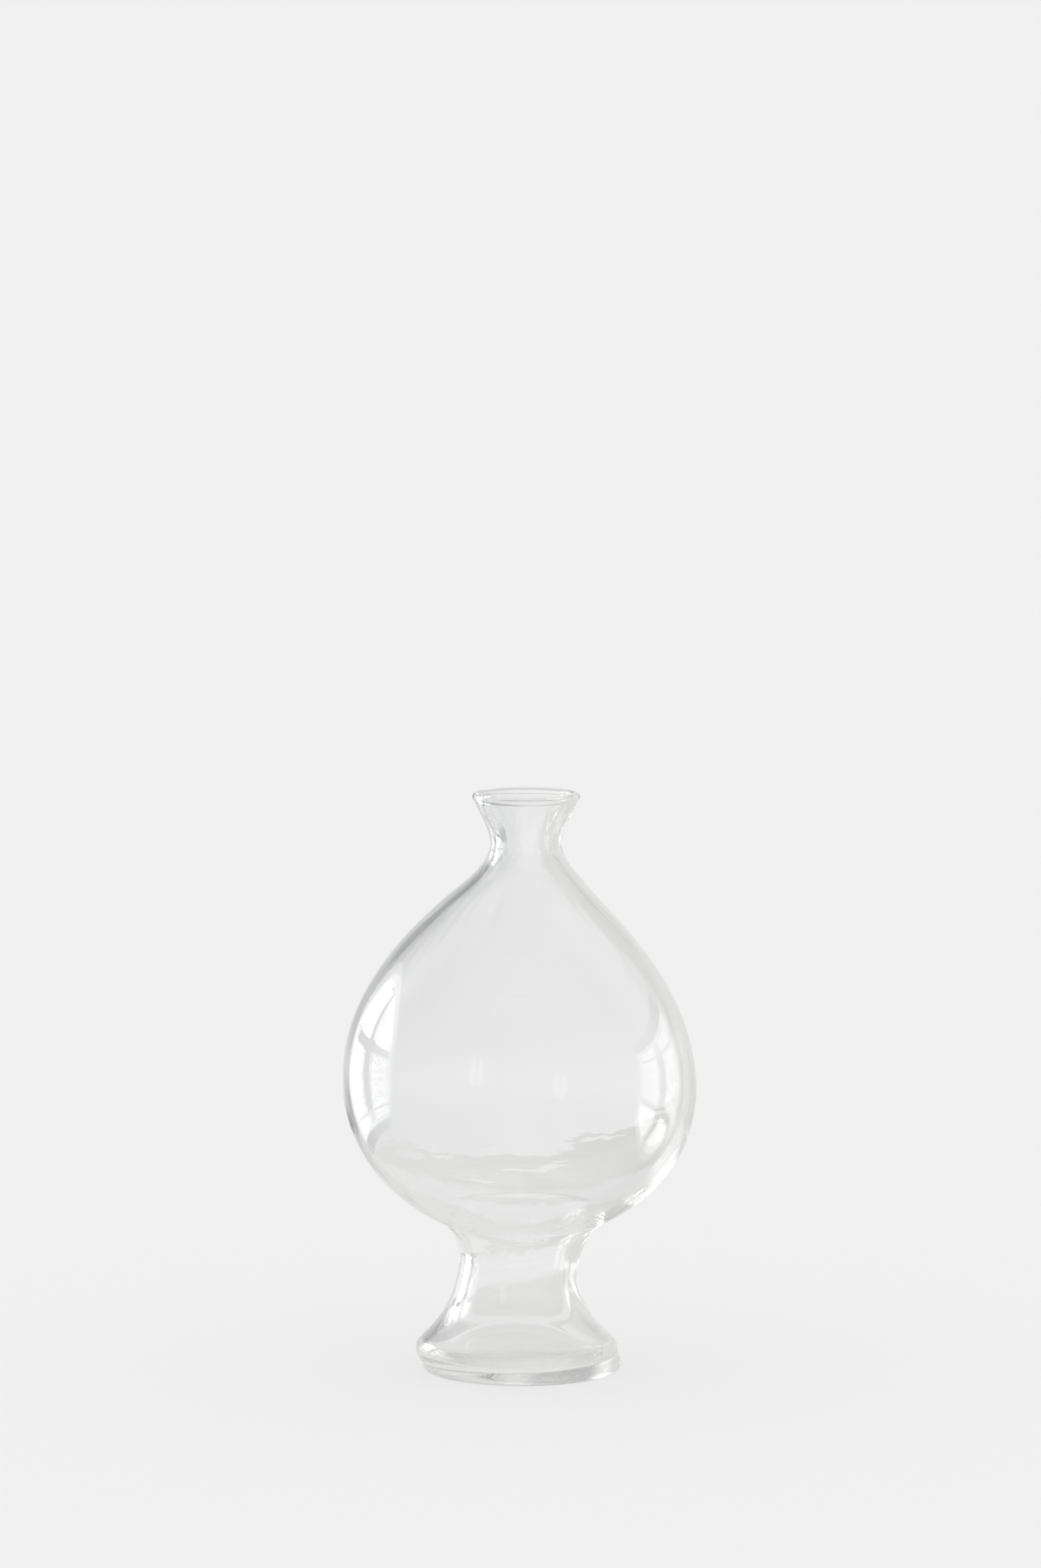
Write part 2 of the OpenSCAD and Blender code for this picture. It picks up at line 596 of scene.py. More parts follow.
@dataclass
class Workshop:
    """What all pieces share: the turning groups, the hand-made bend and the materials."""

    turning: Turning = field(default_factory=Turning)
    hand: HandBlown = field(default_factory=HandBlown)
    glass: ClearGlass = field(default_factory=ClearGlass)
    pressed: ClearGlass = ClearGlass(
        line_scale=180.0,
        line_stretch=0.6,
        bump_height=0.12 * MM,
        spokes=0.35,
        ground_h=2.4 * MM,
        ground_roughness=0.4,
        name="pressed_glass",
    )
    joint: SealedJoint = field(default_factory=SealedJoint)
    uneven: float = 0.1

    def __post_init__(self) -> None:
        """Makes the shared groups and materials once."""
        self.groups = self.turning.groups()
        self.bend = self.hand.group()
        self.wall_material = self.glass.material()
        self.pressed_material = self.pressed.material()
        self.seal_material = self.joint.material()


@dataclass
class GlassPiece:
    """One piece of the vase, as strips turned round the axis that close to a solid."""

    shop: Workshop
    name: ClassVar[str]
    node: ClassVar[str]
    steps: ClassVar[int] = 80

    @property
    def finish(self) -> Material:
        """Material of the piece's walls."""
        return self.shop.wall_material

    def __post_init__(self) -> None:
        """Starts the piece's tree with the input that every piece has."""
        self.tree = ShapeTree(self.name + "_shape")
        self.strips: list[Value] = []
        self.segments = self.tree.input("Segments", self.shop.turning.segments, "Int")

    def strip(self, line: Line, steps: int, sizes: dict[str, Any]) -> None:
        """Adds a turned line, with its faces marked where it is a seal.

        Args:
            line: the kind of line.
            steps: rings along it.
            sizes: values or links for the inputs of the line's group.
        """
        tree = self.tree
        count = tree.input(f"Strip {len(self.strips) + 1} Steps", steps, "Int")
        inputs = {"Steps": count, "Segments": self.segments, **sizes}
        turned = tree.node("GeometryNodeGroup", {"node_tree": self.shop.groups[line]}, inputs)
        marked = tree.value(
            "GeometryNodeStoreNamedAttribute",
            {"data_type": "BOOLEAN", "domain": "FACE"},
            {"Geometry": turned.outputs[0], "Name": SEAL_MARK, "Value": line is Line.SEAL},
        )
        self.strips.append(marked)

    def straight(self, start: tuple[Amount, Amount], end: tuple[Amount, Amount], steps: int) -> None:
        """Adds a straight line between two places, each a radius and a height."""
        self.strip(Line.STRAIGHT, steps, dict(zip(STRAIGHT_SIZES, (*start, *end))))

    def arc(self, centre: tuple[Amount, Amount], radius: Amount, start: Amount, sweep: Amount) -> None:
        """Adds a round line about a centre, from a start angle through a sweep."""
        self.strip(Line.ARC, self.steps, dict(zip(ARC_SIZES, (*centre, radius, start, sweep))))

    def wall(
        self,
        upper: Ring,
        lower: Ring,
        pulls: Pair,
        insets: tuple[Amount, Amount] = (0.0, 0.0),
        uneven: float = 0.0,
    ) -> None:
        """Adds a wall from an upper to a lower station.

        Args:
            upper: the upper station's sizes.
            lower: the lower station's sizes.
            pulls: how far the curve follows each station's lean, as shares of its height.
            insets: how far the wall lies inside each station.
            uneven: how much that distance wanders, as a share of it.
        """
        sizes = {f"Upper {name}": value for name, value in upper.items()}
        sizes |= {f"Lower {name}": value for name, value in lower.items()}
        sizes |= {"Upper Pull": pulls[0], "Lower Pull": pulls[1]}
        sizes |= {"Upper Inset": insets[0], "Lower Inset": insets[1], "Uneven": uneven}
        self.strip(Line.WALL, self.steps, sizes)

    def shell(
        self, upper: Ring, lower: Ring, pulls: Pair, walls: tuple[Value, Value]
    ) -> None:
        """Adds the outside and the inside of a wall whose thickness eases from one station to the other."""
        self.wall(upper, lower, pulls)
        self.wall(upper, lower, pulls, walls, self.shop.uneven)

    def seal(self, station: Ring, thickness: Value) -> None:
        """Adds the flat face across the wall at a station."""
        self.strip(Line.SEAL, 1, {**station, "Wall": thickness})

    def chain(self, stops: Sequence[tuple[str, Station, float]], pulls: Sequence[Pair]) -> None:
        """Adds shells through a row of stations, and the seals at both ends.

        Args:
            stops: name, ring and glass thickness of each station, from the top down.
            pulls: the pulls of the curve from each station to the next.
        """
        rings = [self.tree.station(name, ring) for name, ring, _ in stops]
        walls = [self.tree.input(f"{name} Wall", wall) for name, _, wall in stops]
        for i, pair in enumerate(pulls):
            self.shell(rings[i], rings[i + 1], pair, (walls[i], walls[i + 1]))
        self.seal(rings[0], walls[0])
        self.seal(rings[-1], walls[-1])

    def outline(self) -> None:
        """Adds the strips of this piece."""
        raise NotImplementedError

    def build(self) -> None:
        """Builds the piece, dresses it and sets it in its node's place."""
        self.outline()
        self._dress()
        piece = self._evaluated()
        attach(piece, BODY)
        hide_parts(self.node)
        log.info("%s: %d faces", piece.name, len(piece.data.polygons))

    def _dress(self) -> None:
        """Joins and bends the strips, and gives walls and seals their materials."""
        tree = self.tree
        join = tree.node("GeometryNodeJoinGeometry")
        for strip in reversed(self.strips):
            tree.feed(join.inputs[0], strip)
        weld = {"Geometry": join.outputs[0], "Distance": WELD_DISTANCE}
        sizes = {
            "Geometry": tree.value("GeometryNodeMergeByDistance", None, weld),
            "Full Height": tree.input("Full Height", CAD_BOX[1].z - CAD_BOX[0].z),
            "Ripple": tree.input("Ripple", self.shop.hand.ripple),
        }
        bent = tree.value("GeometryNodeGroup", {"node_tree": self.shop.bend}, sizes)
        marks = {"data_type": "BOOLEAN"}
        is_seal = tree.value("GeometryNodeInputNamedAttribute", marks, {"Name": SEAL_MARK})
        is_wall = tree.value("FunctionNodeBooleanMath", {"operation": "NOT"}, {0: is_seal})
        smooth = tree.value("GeometryNodeSetShadeSmooth", None, {"Geometry": bent, "Shade Smooth": is_wall})
        real = tree.value("GeometryNodeRealizeInstances", None, {"Geometry": smooth})
        walls = tree.input("Wall Material", self.finish, "Material")
        seals = tree.input("Seal Material", self.shop.seal_material, "Material")
        dressed = tree.value("GeometryNodeSetMaterial", None, {"Geometry": real, "Material": walls})
        sealed = {"Geometry": dressed, "Selection": is_seal, "Material": seals}
        tree.finish(tree.value("GeometryNodeSetMaterial", None, sealed))

    def _evaluated(self) -> Object:
        """Runs the piece's tree.

        Returns:
            The piece's object, as a plain mesh at the origin with its faces outward.
        """
        piece = bpy.data.objects.new(self.name, bpy.data.meshes.new(self.name))
        bpy.context.scene.collection.objects.link(piece)
        modifier = piece.modifiers.new(self.tree.tree.name, "NODES")
        modifier.node_group = self.tree.tree
        for identifier, value in self.tree.values.items():
            modifier[identifier] = value
        graph = bpy.context.evaluated_depsgraph_get()
        mesh = bpy.data.meshes.new_from_object(piece.evaluated_get(graph), depsgraph=graph)
        piece.modifiers.remove(modifier)
        mesh.name = self.name
        piece.data = mesh
        settle(mesh)
        return piece


def settle(mesh: Mesh) -> None:
    """Turns every face outward, and keeps the edges round the seals sharp.

    Args:
        mesh: a closed mesh.
    """
    work = bmesh.new()
    work.from_mesh(mesh)
    bmesh.ops.recalc_face_normals(work, faces=work.faces)
    if work.calc_volume(signed=True) < 0.0:
        bmesh.ops.reverse_faces(work, faces=work.faces)
    for edge in work.edges:
        edge.smooth = all(face.smooth for face in edge.link_faces)
    work.to_mesh(mesh)
    work.free()


def outer_radius(node: str) -> float:
    """Largest radius of a CAD node."""
    low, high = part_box(node)
    return (high.x - low.x) / 2


@dataclass
class Lip(GlassPiece):
    """Fire-polished bead round the mouth."""

    name: ClassVar[str] = "glass_lip"
    node: ClassVar[str] = "lip"
    bead_d: float = 2.5 * MM
    flare_lean: float = -20.0
    rim_wall: float = 1.9 * MM

    @property
    def bead_centre(self) -> Pair:
        """Radius and height of the bead's middle."""
        return outer_radius(self.node) - self.bead_d / 2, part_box(self.node)[1].z - self.bead_d / 2

    @property
    def bead_drop(self) -> float:
        """How far below its middle the bead is cut, where the cut is as wide as the wall."""
        return math.sqrt(self.bead_d**2 - self.rim_wall**2) / 2

    @property
    def rim(self) -> Station:
        """Ring where the neck meets the bead.

        Returns:
            The ring on the outside of the neck, at the edge of the bead's cut.
        """
        way = Station(0.0, 0.0, self.flare_lean).way
        radius, height = self.bead_centre
        return Station(
            radius + way[0] * self.bead_drop - way[1] * self.rim_wall / 2,
            height + way[1] * self.bead_drop + way[0] * self.rim_wall / 2,
            self.flare_lean,
        )

    def outline(self) -> None:
        """Adds the bead's round and the cut where it sits on the neck."""
        half = math.atan2(self.rim_wall / 2, self.bead_drop)
        down = math.atan2(self.rim.way[1], self.rim.way[0])
        sizes = (*self.bead_centre, self.bead_d / 2, down + half, math.tau - 2 * half)
        bead = {name: self.tree.input(f"Bead {name}", size) for name, size in zip(ARC_SIZES, sizes)}
        self.strip(Line.ARC, self.steps, bead)
        self.seal(self.tree.station("Rim", self.rim), self.tree.input("Rim Wall", self.rim_wall))


@dataclass
class Foot(GlassPiece):
    """Hollow pedestal from the foot seal to its widest ring."""

    name: ClassVar[str] = "glass_foot"
    node: ClassVar[str] = "foot"
    seal_d: float = 49.0 * MM
    seal_h: float = 44.0 * MM
    seal_lean: float = -65.0
    seal_wall: float = 2.4 * MM
    waist_d: float = 35.3 * MM
    waist_h: float = 31.2 * MM
    waist_wall: float = 3.0 * MM
    foot_wall: float = 2.6 * MM
    seal_pulls: Pair = (0.22, 0.58)
    foot_pulls: Pair = (0.68, 0.15)
    inside_pulls: Pair = (0.76, 0.12)

    @property
    def seal_ring(self) -> Station:
        """Ring where the bulb meets the foot."""
        return Station(self.seal_d / 2, self.seal_h, self.seal_lean)

    @property
    def edge(self) -> Station:
        """Widest ring of the foot."""
        return Station(outer_radius(self.node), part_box(self.node)[0].z)

    def outline(self) -> None:
        """Adds the curves outside and inside, and the seals at both ends."""
        tree = self.tree
        seal = tree.station("Foot Seal", self.seal_ring)
        waist = tree.station("Waist", Station(self.waist_d / 2, self.waist_h))
        edge = tree.station("Edge", self.edge)
        seal_wall = tree.input("Seal Wall", self.seal_wall)
        waist_wall = tree.input("Waist Wall", self.waist_wall)
        foot_wall = tree.input("Foot Wall", self.foot_wall)
        within_waist = {**waist, "Radius": waist["Radius"] - waist_wall}
        within_edge = {**edge, "Radius": edge["Radius"] - foot_wall}
        self.shell(seal, waist, self.seal_pulls, (seal_wall, waist_wall))
        self.wall(waist, edge, self.foot_pulls)
        self.wall(within_waist, within_edge, self.inside_pulls)
        self.seal(seal, seal_wall)
        self.seal(edge, foot_wall)


@dataclass
class Bulb(GlassPiece):
    """Thin blown body from the shoulder seal to the foot seal."""

    foot: Foot
    name: ClassVar[str] = "glass_bulb"
    node: ClassVar[str] = "bulb"
    height: float = 102.8 * MM
    shoulder_d: float = 29.0 * MM
    shoulder_lean: float = 41.0
    shoulder_wall: float = 2.7 * MM
    belly_rise: float = 40.9 * MM
    belly_wall: float = 1.7 * MM
    shoulder_pulls: Pair = (0.2, 0.51)
    belly_pulls: Pair = (0.56, 0.31)

    @property
    def shoulder(self) -> Station:
        """Ring where the bulb meets the neck."""
        return Station(self.shoulder_d / 2, self.foot.seal_h + self.height, self.shoulder_lean)

    def outline(self) -> None:
        """Adds the two curves outside and inside, and the seals at both ends."""
        belly = Station(outer_radius(self.node), self.foot.seal_h + self.belly_rise)
        stops = (
            ("Shoulder", self.shoulder, self.shoulder_wall),
            ("Belly", belly, self.belly_wall),
            ("Foot Seal", self.foot.seal_ring, self.foot.seal_wall),
        )
        self.chain(stops, (self.shoulder_pulls, self.belly_pulls))


@dataclass
class Neck(GlassPiece):
    """Flared throat from the bead to the shoulder seal."""

    lip: Lip
    bulb: Bulb
    name: ClassVar[str] = "glass_neck"
    node: ClassVar[str] = "neck"
    throat_d: float = 20.8 * MM
    throat_rise: float = 8.3 * MM
    throat_wall: float = 2.9 * MM
    flare_pulls: Pair = (0.3, 0.31)
    throat_pulls: Pair = (0.31, 0.47)

    def outline(self) -> None:
        """Adds the two curves outside and inside, and the seals at both ends."""
        below = self.bulb.shoulder
        stops = (
            ("Rim", self.lip.rim, self.lip.rim_wall),
            ("Throat", Station(self.throat_d / 2, below.height + self.throat_rise), self.throat_wall),
            ("Shoulder", below, self.bulb.shoulder_wall),
        )
        self.chain(stops, (self.flare_pulls, self.throat_pulls))


@dataclass
class Base(GlassPiece):
    """Thick disc that closes the foot, with a shallow kick under it."""

    foot: Foot
    name: ClassVar[str] = "glass_base"
    node: ClassVar[str] = "base"
    steps: ClassVar[int] = 16
    ring_steps: ClassVar[int] = 2
    floor_h: float = 3.3 * MM
    stand_d: float = 55.4 * MM
    kick_d: float = 46.0 * MM
    kick_h: float = 0.9 * MM
    edge_share: float = 0.67

    @property
    def finish(self) -> Material:
        """Glass of the pressed disc, whose faces are less even than the blown walls."""
        return self.shop.pressed_material

    def outline(self) -> None:
        """Adds the floor, its round corner, the outside edge, the standing ring and the kick."""
        tree = self.tree
        edge = tree.station("Edge", self.foot.edge)
        stand = tree.station("Stand", Station(self.stand_d / 2, 0.0, -90.0))
        foot_wall = tree.input("Foot Wall", self.foot.foot_wall)
        floor_h = tree.input("Floor Height", self.floor_h)
        kick_h = tree.input("Kick Height", self.kick_h)
        kick_r = tree.input("Kick Radius", self.kick_d / 2)
        corner_r = edge["Height"] - floor_h
        corner_at = edge["Radius"] - foot_wall - corner_r
        round_r = (kick_r * kick_r + kick_h * kick_h) / (kick_h * 2.0)
        kick_turn = tree.math("ARCSINE", kick_r / round_r)
        self.straight((0.0, floor_h), (corner_at, floor_h), self.steps)
        self.arc((corner_at, edge["Height"]), corner_r, -math.pi / 2, math.pi / 2)
        self.seal(edge, foot_wall)
        inward = (self.foot.edge.radius - self.stand_d / 2) * self.edge_share / self.foot.edge.height
        self.wall(edge, stand, (self.edge_share, inward))
        self.straight((stand["Radius"], stand["Height"]), (kick_r, stand["Height"]), self.ring_steps)
        self.arc((0.0, kick_h - round_r), round_r, math.pi / 2 - kick_turn, kick_turn)


def way_at(azimuth: float) -> Vector:
    """Level direction at an azimuth in degrees, from straight behind the vase towards its left."""
    turn = math.radians(azimuth)
    return Vector((-math.sin(turn), math.cos(turn), 0.0))


def add_flat(name: str, faces: list[list[Vector]], material: Material, seen: bool = False) -> None:
    """Adds flat faces to the stage.

    Args:
        name: the object's name.
        faces: the corners of each face.
        material: the material of all faces.
        seen: whether more shows them than reflections and refractions.
    """
    mesh = bpy.data.meshes.new(name)
    counts = [len(face) for face in faces]
    starts = [sum(counts[:i]) for i in range(len(counts))]
    rings = [list(range(s, s + n)) for s, n in zip(starts, counts)]
    mesh.from_pydata([point for face in faces for point in face], [], rings)
    mesh.materials.append(material)
    flat = bpy.data.objects.new(name, mesh)
    bpy.context.scene.collection.objects.link(flat)
    flat.visible_camera = seen
    flat.visible_diffuse = seen
    flat.visible_shadow = seen


@dataclass(frozen=True)
class DayLight:
    """The glow of a window's panes, softly mottled as bare trees and clouds behind old glass are.

    It shows in reflections and at the edges of the glass. Where both walls of the hollow vase are in front of
    it, the plain room shows instead, so that the vase isn't burnt out from the side that faces the window.
    """

    name: str
    brightness: float
    mottle: float = 0.0
    mottle_scale: float = 6.0
    detail: float = 4.0
    edge_depth: int = 2

    def material(self) -> Material:
        """Makes the glowing material.

        Returns:
            The material.
        """
        tree = SurfaceTree(self.name)
        strength = 1.0 + tree.noise(tree.place(), self.mottle_scale, self.detail) * (2.0 * self.mottle)
        straight = tree.math("LESS_THAN", tree.ray("Glossy Depth"), 1.0)
        walls = tree.math("GREATER_THAN", tree.ray("Transmission Depth"), self.edge_depth)
        glow = tree.glow(WHITE, strength * self.brightness)
        return tree.finish(tree.either(straight * walls, glow, tree.node("ShaderNodeBsdfTransparent")))


@dataclass(frozen=True)
class Window:
    """A studio light in the form of a tall window with glazing bars, which the glass reflects.

    Places on it are given as shares of its distance: across to the left, as seen from the vase, and up from
    its centre. It runs across from its start to its end, and its arch begins at its spring.
    """

    azimuth: float
    distance: float
    centre_h: float
    start: float
    end: float
    sill: float
    spring: float
    arch_top: float
    roll: float = 0.0
    arch_power: float = 2.2
    steps: int = 16

    def halves(self, bar: float) -> tuple[Pair, Pair]:
        """Start and end of the two parts beside an upright bar of this half width."""
        return (self.start, -bar), (bar, self.end)

    def place(self, across: float, up: float) -> Vector:
        """Finds a point on the window's plane.

        Args:
            across: how far it is to the left of the centre.
            up: how far it is above the centre.

        Returns:
            The point in metres.
        """
        roll = math.radians(self.roll)
        way = way_at(self.azimuth)
        left = Vector((-way.y, way.x, 0.0))
        a = across * math.cos(roll) - up * math.sin(roll)
        b = across * math.sin(roll) + up * math.cos(roll)
        place = way + left * a + Vector((0.0, 0.0, b))
        return place * self.distance + Vector((0.0, 0.0, self.centre_h))

    def arch(self, across: float) -> float:
        """Finds the height of the arch.

        Args:
            across: a place across the window.

        Returns:
            How far the arch is above the centre there.
        """
        middle = (self.start + self.end) / 2
        half = (self.end - self.start) / 2
        share = min(1.0, abs(across - middle) / half)
        return self.spring + (self.arch_top - self.spring) * math.sqrt(1.0 - share**self.arch_power)

    def pane(self, start: float, end: float, low: float, high: float | None = None) -> list[Vector]:
        """Finds the outline of a pane.

        Args:
            start: where it starts across the window.
            end: where it ends across the window.
            low: its foot.
            high: its top, or None where it reaches up to the arch.

        Returns:
            The pane's corners.
        """
        if high is not None:
            return [self.place(a, b) for a, b in ((start, low), (end, low), (end, high), (start, high))]
        tops = [end + (start - end) * i / self.steps for i in range(self.steps + 1)]
        points = [self.place(start, low), self.place(end, low)]
        return points + [self.place(a, self.arch(a)) for a in tops if self.arch(a) > low]


@dataclass(frozen=True)
class ArchedWindow:
    """The main light: a tall arched window to the left, its glazing bars and the pale reveal round it."""

    opening: Window = Window(
        azimuth=61.0,
        distance=1.6,
        centre_h=0.095,
        start=-0.40,
        end=0.42,
        sill=-0.37,
        spring=0.16,
        arch_top=0.46,
        roll=7.5,
    )
    reveal: Window = replace(
        opening, distance=1.65, start=-0.52, end=0.50, sill=-0.40, spring=0.18, arch_top=0.53
    )
    bar_depth: float = 1.01
    upper_bar: float = 0.064
    lower_bar: float = 0.086
    transom: Pair = (0.09, 0.162)
    low_bar: Pair = (-0.303, -0.283)
    under_sill: Pair = (-0.50, -0.41)
    arch_light: DayLight = DayLight("arch_light", 3.6, mottle=0.3)
    casement_light: DayLight = DayLight("casement_light", 2.2, mottle=1.5, mottle_scale=26.0, detail=8.0)
    reveal_light: DayLight = DayLight("reveal_light", 1.6)
    bar_light: DayLight = DayLight("bar_light", 0.62)
    sill_light: DayLight = DayLight("sill_light", 1.2)
    under_light: DayLight = DayLight("under_light", 0.35, mottle=0.5, mottle_scale=10.0)

    def build(self) -> None:
        """Makes the panes, the bars close behind them, and the bright reveal behind both."""
        window = self.opening
        arch = [window.pane(*side, self.transom[1]) for side in window.halves(self.upper_bar)]
        casements = []
        for side in window.halves(self.lower_bar):
            casements.append(window.pane(*side, self.low_bar[1], self.transom[0]))
            casements.append(window.pane(*side, window.sill, self.low_bar[0]))
        bars = replace(window, distance=window.distance * self.bar_depth)
        reveal = self.reveal
        low = self.low_bar[1]
        under = reveal.pane(reveal.start, reveal.end, *self.under_sill)
        for name, faces, light in (
            ("window_arch", arch, self.arch_light),
            ("window_casements", casements, self.casement_light),
            ("window_bars", [bars.pane(bars.start, bars.end, low)], self.bar_light),
            ("window_low_bars", [bars.pane(bars.start, bars.end, bars.sill, low)], self.sill_light),
            ("window_reveal", [reveal.pane(reveal.start, reveal.end, reveal.sill)], self.reveal_light),
            ("window_under_sill", [under], self.under_light),
        ):
            add_flat(name, faces, light.material())


@dataclass(frozen=True)
class FarWindow:
    """A small window far off, behind the camera's left shoulder, that shows faintly in the bulb."""

    opening: Window = Window(
        azimuth=152.0,
        distance=3.0,
        centre_h=0.095,
        start=-0.085,
        end=0.085,
        sill=0.07,
        spring=0.26,
        arch_top=0.42,
    )
    bar: float = 0.012
    light: DayLight = DayLight("far_light", 1.2, mottle=0.4, mottle_scale=4.0)

    def build(self) -> None:
        """Makes its two panes."""
        panes = [self.opening.pane(*side, self.opening.sill) for side in self.opening.halves(self.bar)]
        add_flat("far_window", panes, self.light.material())


@dataclass(frozen=True)
class Table:
    """The floor. The camera sees it as pale as the backdrop, with the vase's soft shadow.

    What the glass shows of it is a pale table, with a gleam across it, a patch of window light at the right
    and an uneven far edge. It also ends beside the window, whose low panes would otherwise be hidden.
    """

    size: float = 60.0
    lit: float = 0.16
    tone: Colour = (0.775, 0.775, 0.76, 1.0)
    right_tone: Colour = (0.71, 0.71, 0.69, 1.0)
    right_reach: Pair = (0.0, 0.06)
    gleam_tone: Colour = (0.845, 0.851, 0.849, 1.0)
    gleam: Pair = (0.128, 0.205)
    gleam_blur: float = 0.012
    gleam_wander: float = 0.05
    patch_at: Pair = (0.088, 0.15)
    patch_size: Pair = (0.030, 0.095)
    patch_fade: Pair = (0.55, 1.15)
    patch_light: float = 0.45
    far_edge: float = 0.29
    far_slant: float = 1.7
    far_rag: float = 0.2
    rag_scale: float = 30.0
    rag_detail: float = 6.0
    grain: float = 0.05
    grain_scale: float = 90.0
    grain_detail: float = 5.0
    grain_stretch: float = 0.3
    fleck: float = 0.04
    fleck_scale: float = 260.0
    window_gap: float = 0.15
    window_side: float = -0.28

    def build(self, backdrop: float, window_azimuth: float) -> None:
        """Makes the floor.

        Args:
            backdrop: the tone that the camera sees.
            window_azimuth: where the table ends for reflections, in degrees.
        """
        tree = SurfaceTree("pale_floor")
        lit = tree.node("ShaderNodeBsdfDiffuse", None, {"Color": (self.lit,) * 3 + (1.0,)})
        glow = tree.glow(WHITE, backdrop - self.lit)
        seen = tree.node("ShaderNodeAddShader", None, {0: glow.outputs[0], 1: lit.outputs[0]})
        clear = tree.node("ShaderNodeBsdfTransparent")
        through = tree.either(self._ends(tree, window_azimuth), self._top(tree), clear)
        shown = tree.either(tree.ray("Is Camera Ray"), through, seen)
        below = tree.value("ShaderNodeNewGeometry", None, None, "Backfacing")
        surface = tree.either(below, shown, clear)
        signs = ((-1, -1), (1, -1), (1, 1), (-1, 1))
        corners = [Vector((x, y, 0.0)) * (self.size / 2) for x, y in signs]
        add_flat("floor", [corners], tree.finish(surface), seen=True)

    def _top(self, tree: SurfaceTree) -> Node:
        """Makes the table's top as the glass shows it.

        Args:
            tree: the floor's tree.

        Returns:
            The shader of its grain, the gleam, and the patch of light at the right.
        """
        place = tree.place()
        x, y, _ = tree.split(place)
        reach = y + tree.noise(place, self.rag_scale, self.grain_detail) * self.gleam_wander
        start, end = self.gleam
        rise = tree.eased(reach, start - self.gleam_blur, start + self.gleam_blur)
        fall = tree.faded(reach, end - self.gleam_blur, end + self.gleam_blur)
        plain = tree.mixed(tree.eased(x, *self.right_reach), self.tone, self.right_tone)
        tone = tree.mixed(rise * fall, plain, self.gleam_tone)
        drawn = tree.joined(x * self.grain_stretch, y, 0.0)
        grain = tree.noise(drawn, self.grain_scale, self.grain_detail) * (2.0 * self.grain)
        fleck = tree.noise(place, self.fleck_scale) * (2.0 * self.fleck)
        across = (x - self.patch_at[0]) / self.patch_size[0]
        along = (y - self.patch_at[1]) / self.patch_size[1]
        patch = tree.faded(tree.math("SQRT", across * across + along * along), *self.patch_fade)
        return tree.glow(tone, 1.0 + grain + fleck + patch * self.patch_light)

    def _ends(self, tree: SurfaceTree, window_azimuth: float) -> Value:
        """Finds where the table ends.

        Args:
            tree: the floor's tree.
            window_azimuth: the side on which it stops beside the window, in degrees.

        Returns:
            1 past its ragged far edge and beside the window, and 0 on the table.
        """
        place = tree.place()
        x, y, _ = tree.split(place)
        rag = tree.noise(place, self.rag_scale, self.rag_detail) * (2.0 * self.far_rag)
        reach = y - tree.math("MAXIMUM", x, 0.0) * self.far_slant + rag
        far = tree.math("GREATER_THAN", reach, self.far_edge)
        way = way_at(window_azimuth)
        near_window = tree.math("GREATER_THAN", x * way.x + y * way.y, self.window_gap)
        beside = near_window * tree.math("LESS_THAN", x / y, self.window_side)
        return tree.math("MAXIMUM", far, beside)


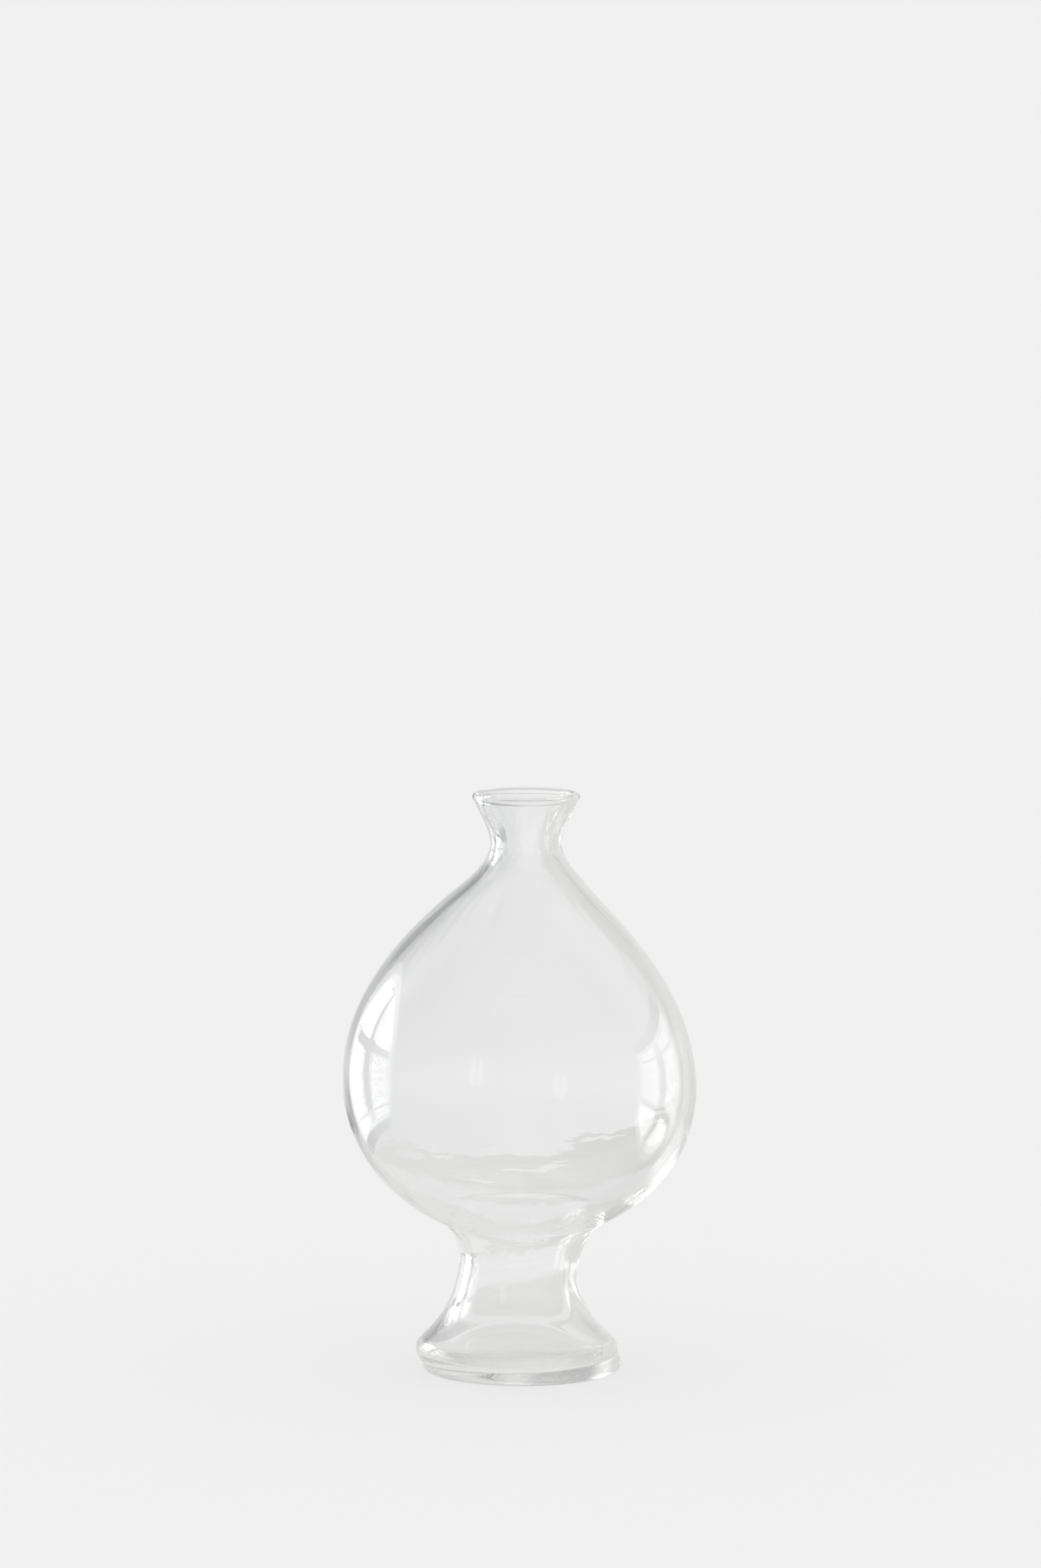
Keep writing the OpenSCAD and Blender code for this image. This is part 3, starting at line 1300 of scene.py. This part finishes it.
@dataclass(frozen=True)
class Room:
    """What the glass shows above the table: a pale wall behind the vase, and a dimmer room in front of it.

    A drop is what a part of the wall is darker by. A reach, top or end is the two azimuths or heights, in
    degrees, between which a part fades in or out. Azimuths run from straight behind the vase to its left.
    """

    wall: float = 0.87
    wall_end: Pair = (60.0, 95.0)
    left_drop: float = 0.245
    left_reach: Pair = (-1.0, 7.0)
    left_end: Pair = (30.0, 38.0)
    far_left_drop: float = 0.06
    far_left_reach: Pair = (11.0, 17.0)
    under_drop: float = 0.24
    under_reach: Pair = (-19.5, -16.5)
    under_top: Pair = (-13.0, -5.0)
    shelf_drop: float = 0.09
    shelf_reach: Pair = (6.5, 11.5)
    right_drop: float = 0.12
    right_reach: Pair = (3.0, 9.0)
    high_drop: float = 0.14
    high_reach: Pair = (3.0, 24.0)
    floor_drop: float = 0.24
    floor_end: Pair = (5.0, 9.0)
    floor_top: Pair = (-20.5, -14.5)
    low_share: float = 0.6
    low_top: Pair = (-8.0, 1.0)
    front: float = 0.26
    front_low: float = 0.80
    front_reach: Pair = (-5.0, 40.0)
    cool: Colour = (0.985, 1.0, 0.995, 1.0)
    warm: Colour = (1.0, 0.998, 0.985, 1.0)

    def build(self, backdrop: float) -> None:
        """Makes the world.

        Args:
            backdrop: the plain tone that the camera sees in place of the room.
        """
        world = bpy.data.worlds.new("studio")
        world.use_nodes = True
        bpy.context.scene.world = world
        tree = Tree(world.node_tree)
        tree.tree.nodes.clear()
        x, y, z = tree.split(tree.value("ShaderNodeTexCoord", None, None, "Generated"))
        azimuth = tree.math("DEGREES", tree.math("ARCTAN2", -x, y))
        rise = tree.math("DEGREES", tree.math("ARCSINE", z))
        beside = tree.faded(azimuth, *self.left_end)
        left = tree.eased(azimuth, *self.left_reach) * beside
        far_left = tree.eased(azimuth, *self.far_left_reach) * beside
        right = tree.eased(-azimuth, *self.right_reach)
        low = tree.faded(rise, *self.low_top)
        under_sill = tree.faded(rise, *self.under_top) * tree.eased(rise, *self.under_reach)
        floor = tree.faded(azimuth, *self.floor_end) * tree.faded(rise, *self.floor_top)
        wall = (
            self.wall
            - self.right_drop * right
            - self.left_drop * left * (1.0 - low * self.low_share)
            - far_left * (self.far_left_drop + self.under_drop * under_sill)
            - self.shelf_drop * left * tree.eased(rise, *self.shelf_reach)
            - self.high_drop * tree.eased(rise, *self.high_reach)
            - self.floor_drop * floor
        )
        front = self.front_low + (self.front - self.front_low) * tree.eased(rise, *self.front_reach)
        tone = front + (wall - front) * tree.faded(tree.math("ABSOLUTE", azimuth), *self.wall_end)
        tint = tree.mixed(left, tree.mixed(right, WHITE, self.warm), self.cool)
        room = self._background(tree, tint, tone)
        soft = self._background(tree, WHITE, 1.0)
        plain = self._background(tree, WHITE, backdrop)
        lit = tree.either(tree.ray("Is Diffuse Ray"), room, soft)
        seen = tree.either(tree.ray("Is Camera Ray"), lit, plain)
        tree.node("ShaderNodeOutputWorld", None, {"Surface": seen.outputs[0]})

    @staticmethod
    def _background(tree: Tree, colour: Value | Colour, strength: Amount) -> Node:
        """Background shader."""
        return tree.node("ShaderNodeBackground", None, {"Color": colour, "Strength": strength})


@dataclass(frozen=True)
class Camera:
    """The photograph's view: from the front and a little above, with a long lens."""

    lens: float = 174.83
    place: tuple[float, float, float] = (0.0, -2.2, 0.42836)
    pitch: float = 6.635

    def build(self) -> None:
        """Makes the camera."""
        data = bpy.data.cameras.new("camera")
        data.lens = self.lens
        camera = bpy.data.objects.new("camera", data)
        camera.location = self.place
        camera.rotation_euler = (math.radians(90.0 - self.pitch), 0.0, 0.0)
        bpy.context.scene.collection.objects.link(camera)
        bpy.context.scene.camera = camera


@dataclass(frozen=True)
class Studio:
    """Pale stage: table, room, windows and camera, with enough bounces for light that runs along the wall."""

    backdrop: float = 0.8796
    table: Table = Table()
    room: Room = Room()
    window: ArchedWindow = ArchedWindow()
    far_window: FarWindow = FarWindow()
    camera: Camera = Camera()
    bounces: int = 96

    def build(self) -> None:
        """Makes the whole stage."""
        self.table.build(self.backdrop, self.window.opening.azimuth)
        self.room.build(self.backdrop)
        self.window.build()
        self.far_window.build()
        self.camera.build()
        scene = bpy.context.scene
        scene.view_settings.view_transform = "Standard"
        scene.cycles.max_bounces = self.bounces
        scene.cycles.transmission_bounces = self.bounces
        scene.cycles.glossy_bounces = self.bounces
        scene.cycles.transparent_max_bounces = self.bounces


def main() -> None:
    """Builds the vase piece by piece, then the stage round it."""
    logging.basicConfig(level=logging.INFO, format="%(name)s: %(message)s")
    workshop = Workshop()
    lip = Lip(workshop)
    foot = Foot(workshop)
    bulb = Bulb(workshop, foot)
    for piece in (lip, Neck(workshop, lip, bulb), bulb, foot, Base(workshop, foot)):
        piece.build()
    Studio().build()


if __name__ == "__main__":
    main()
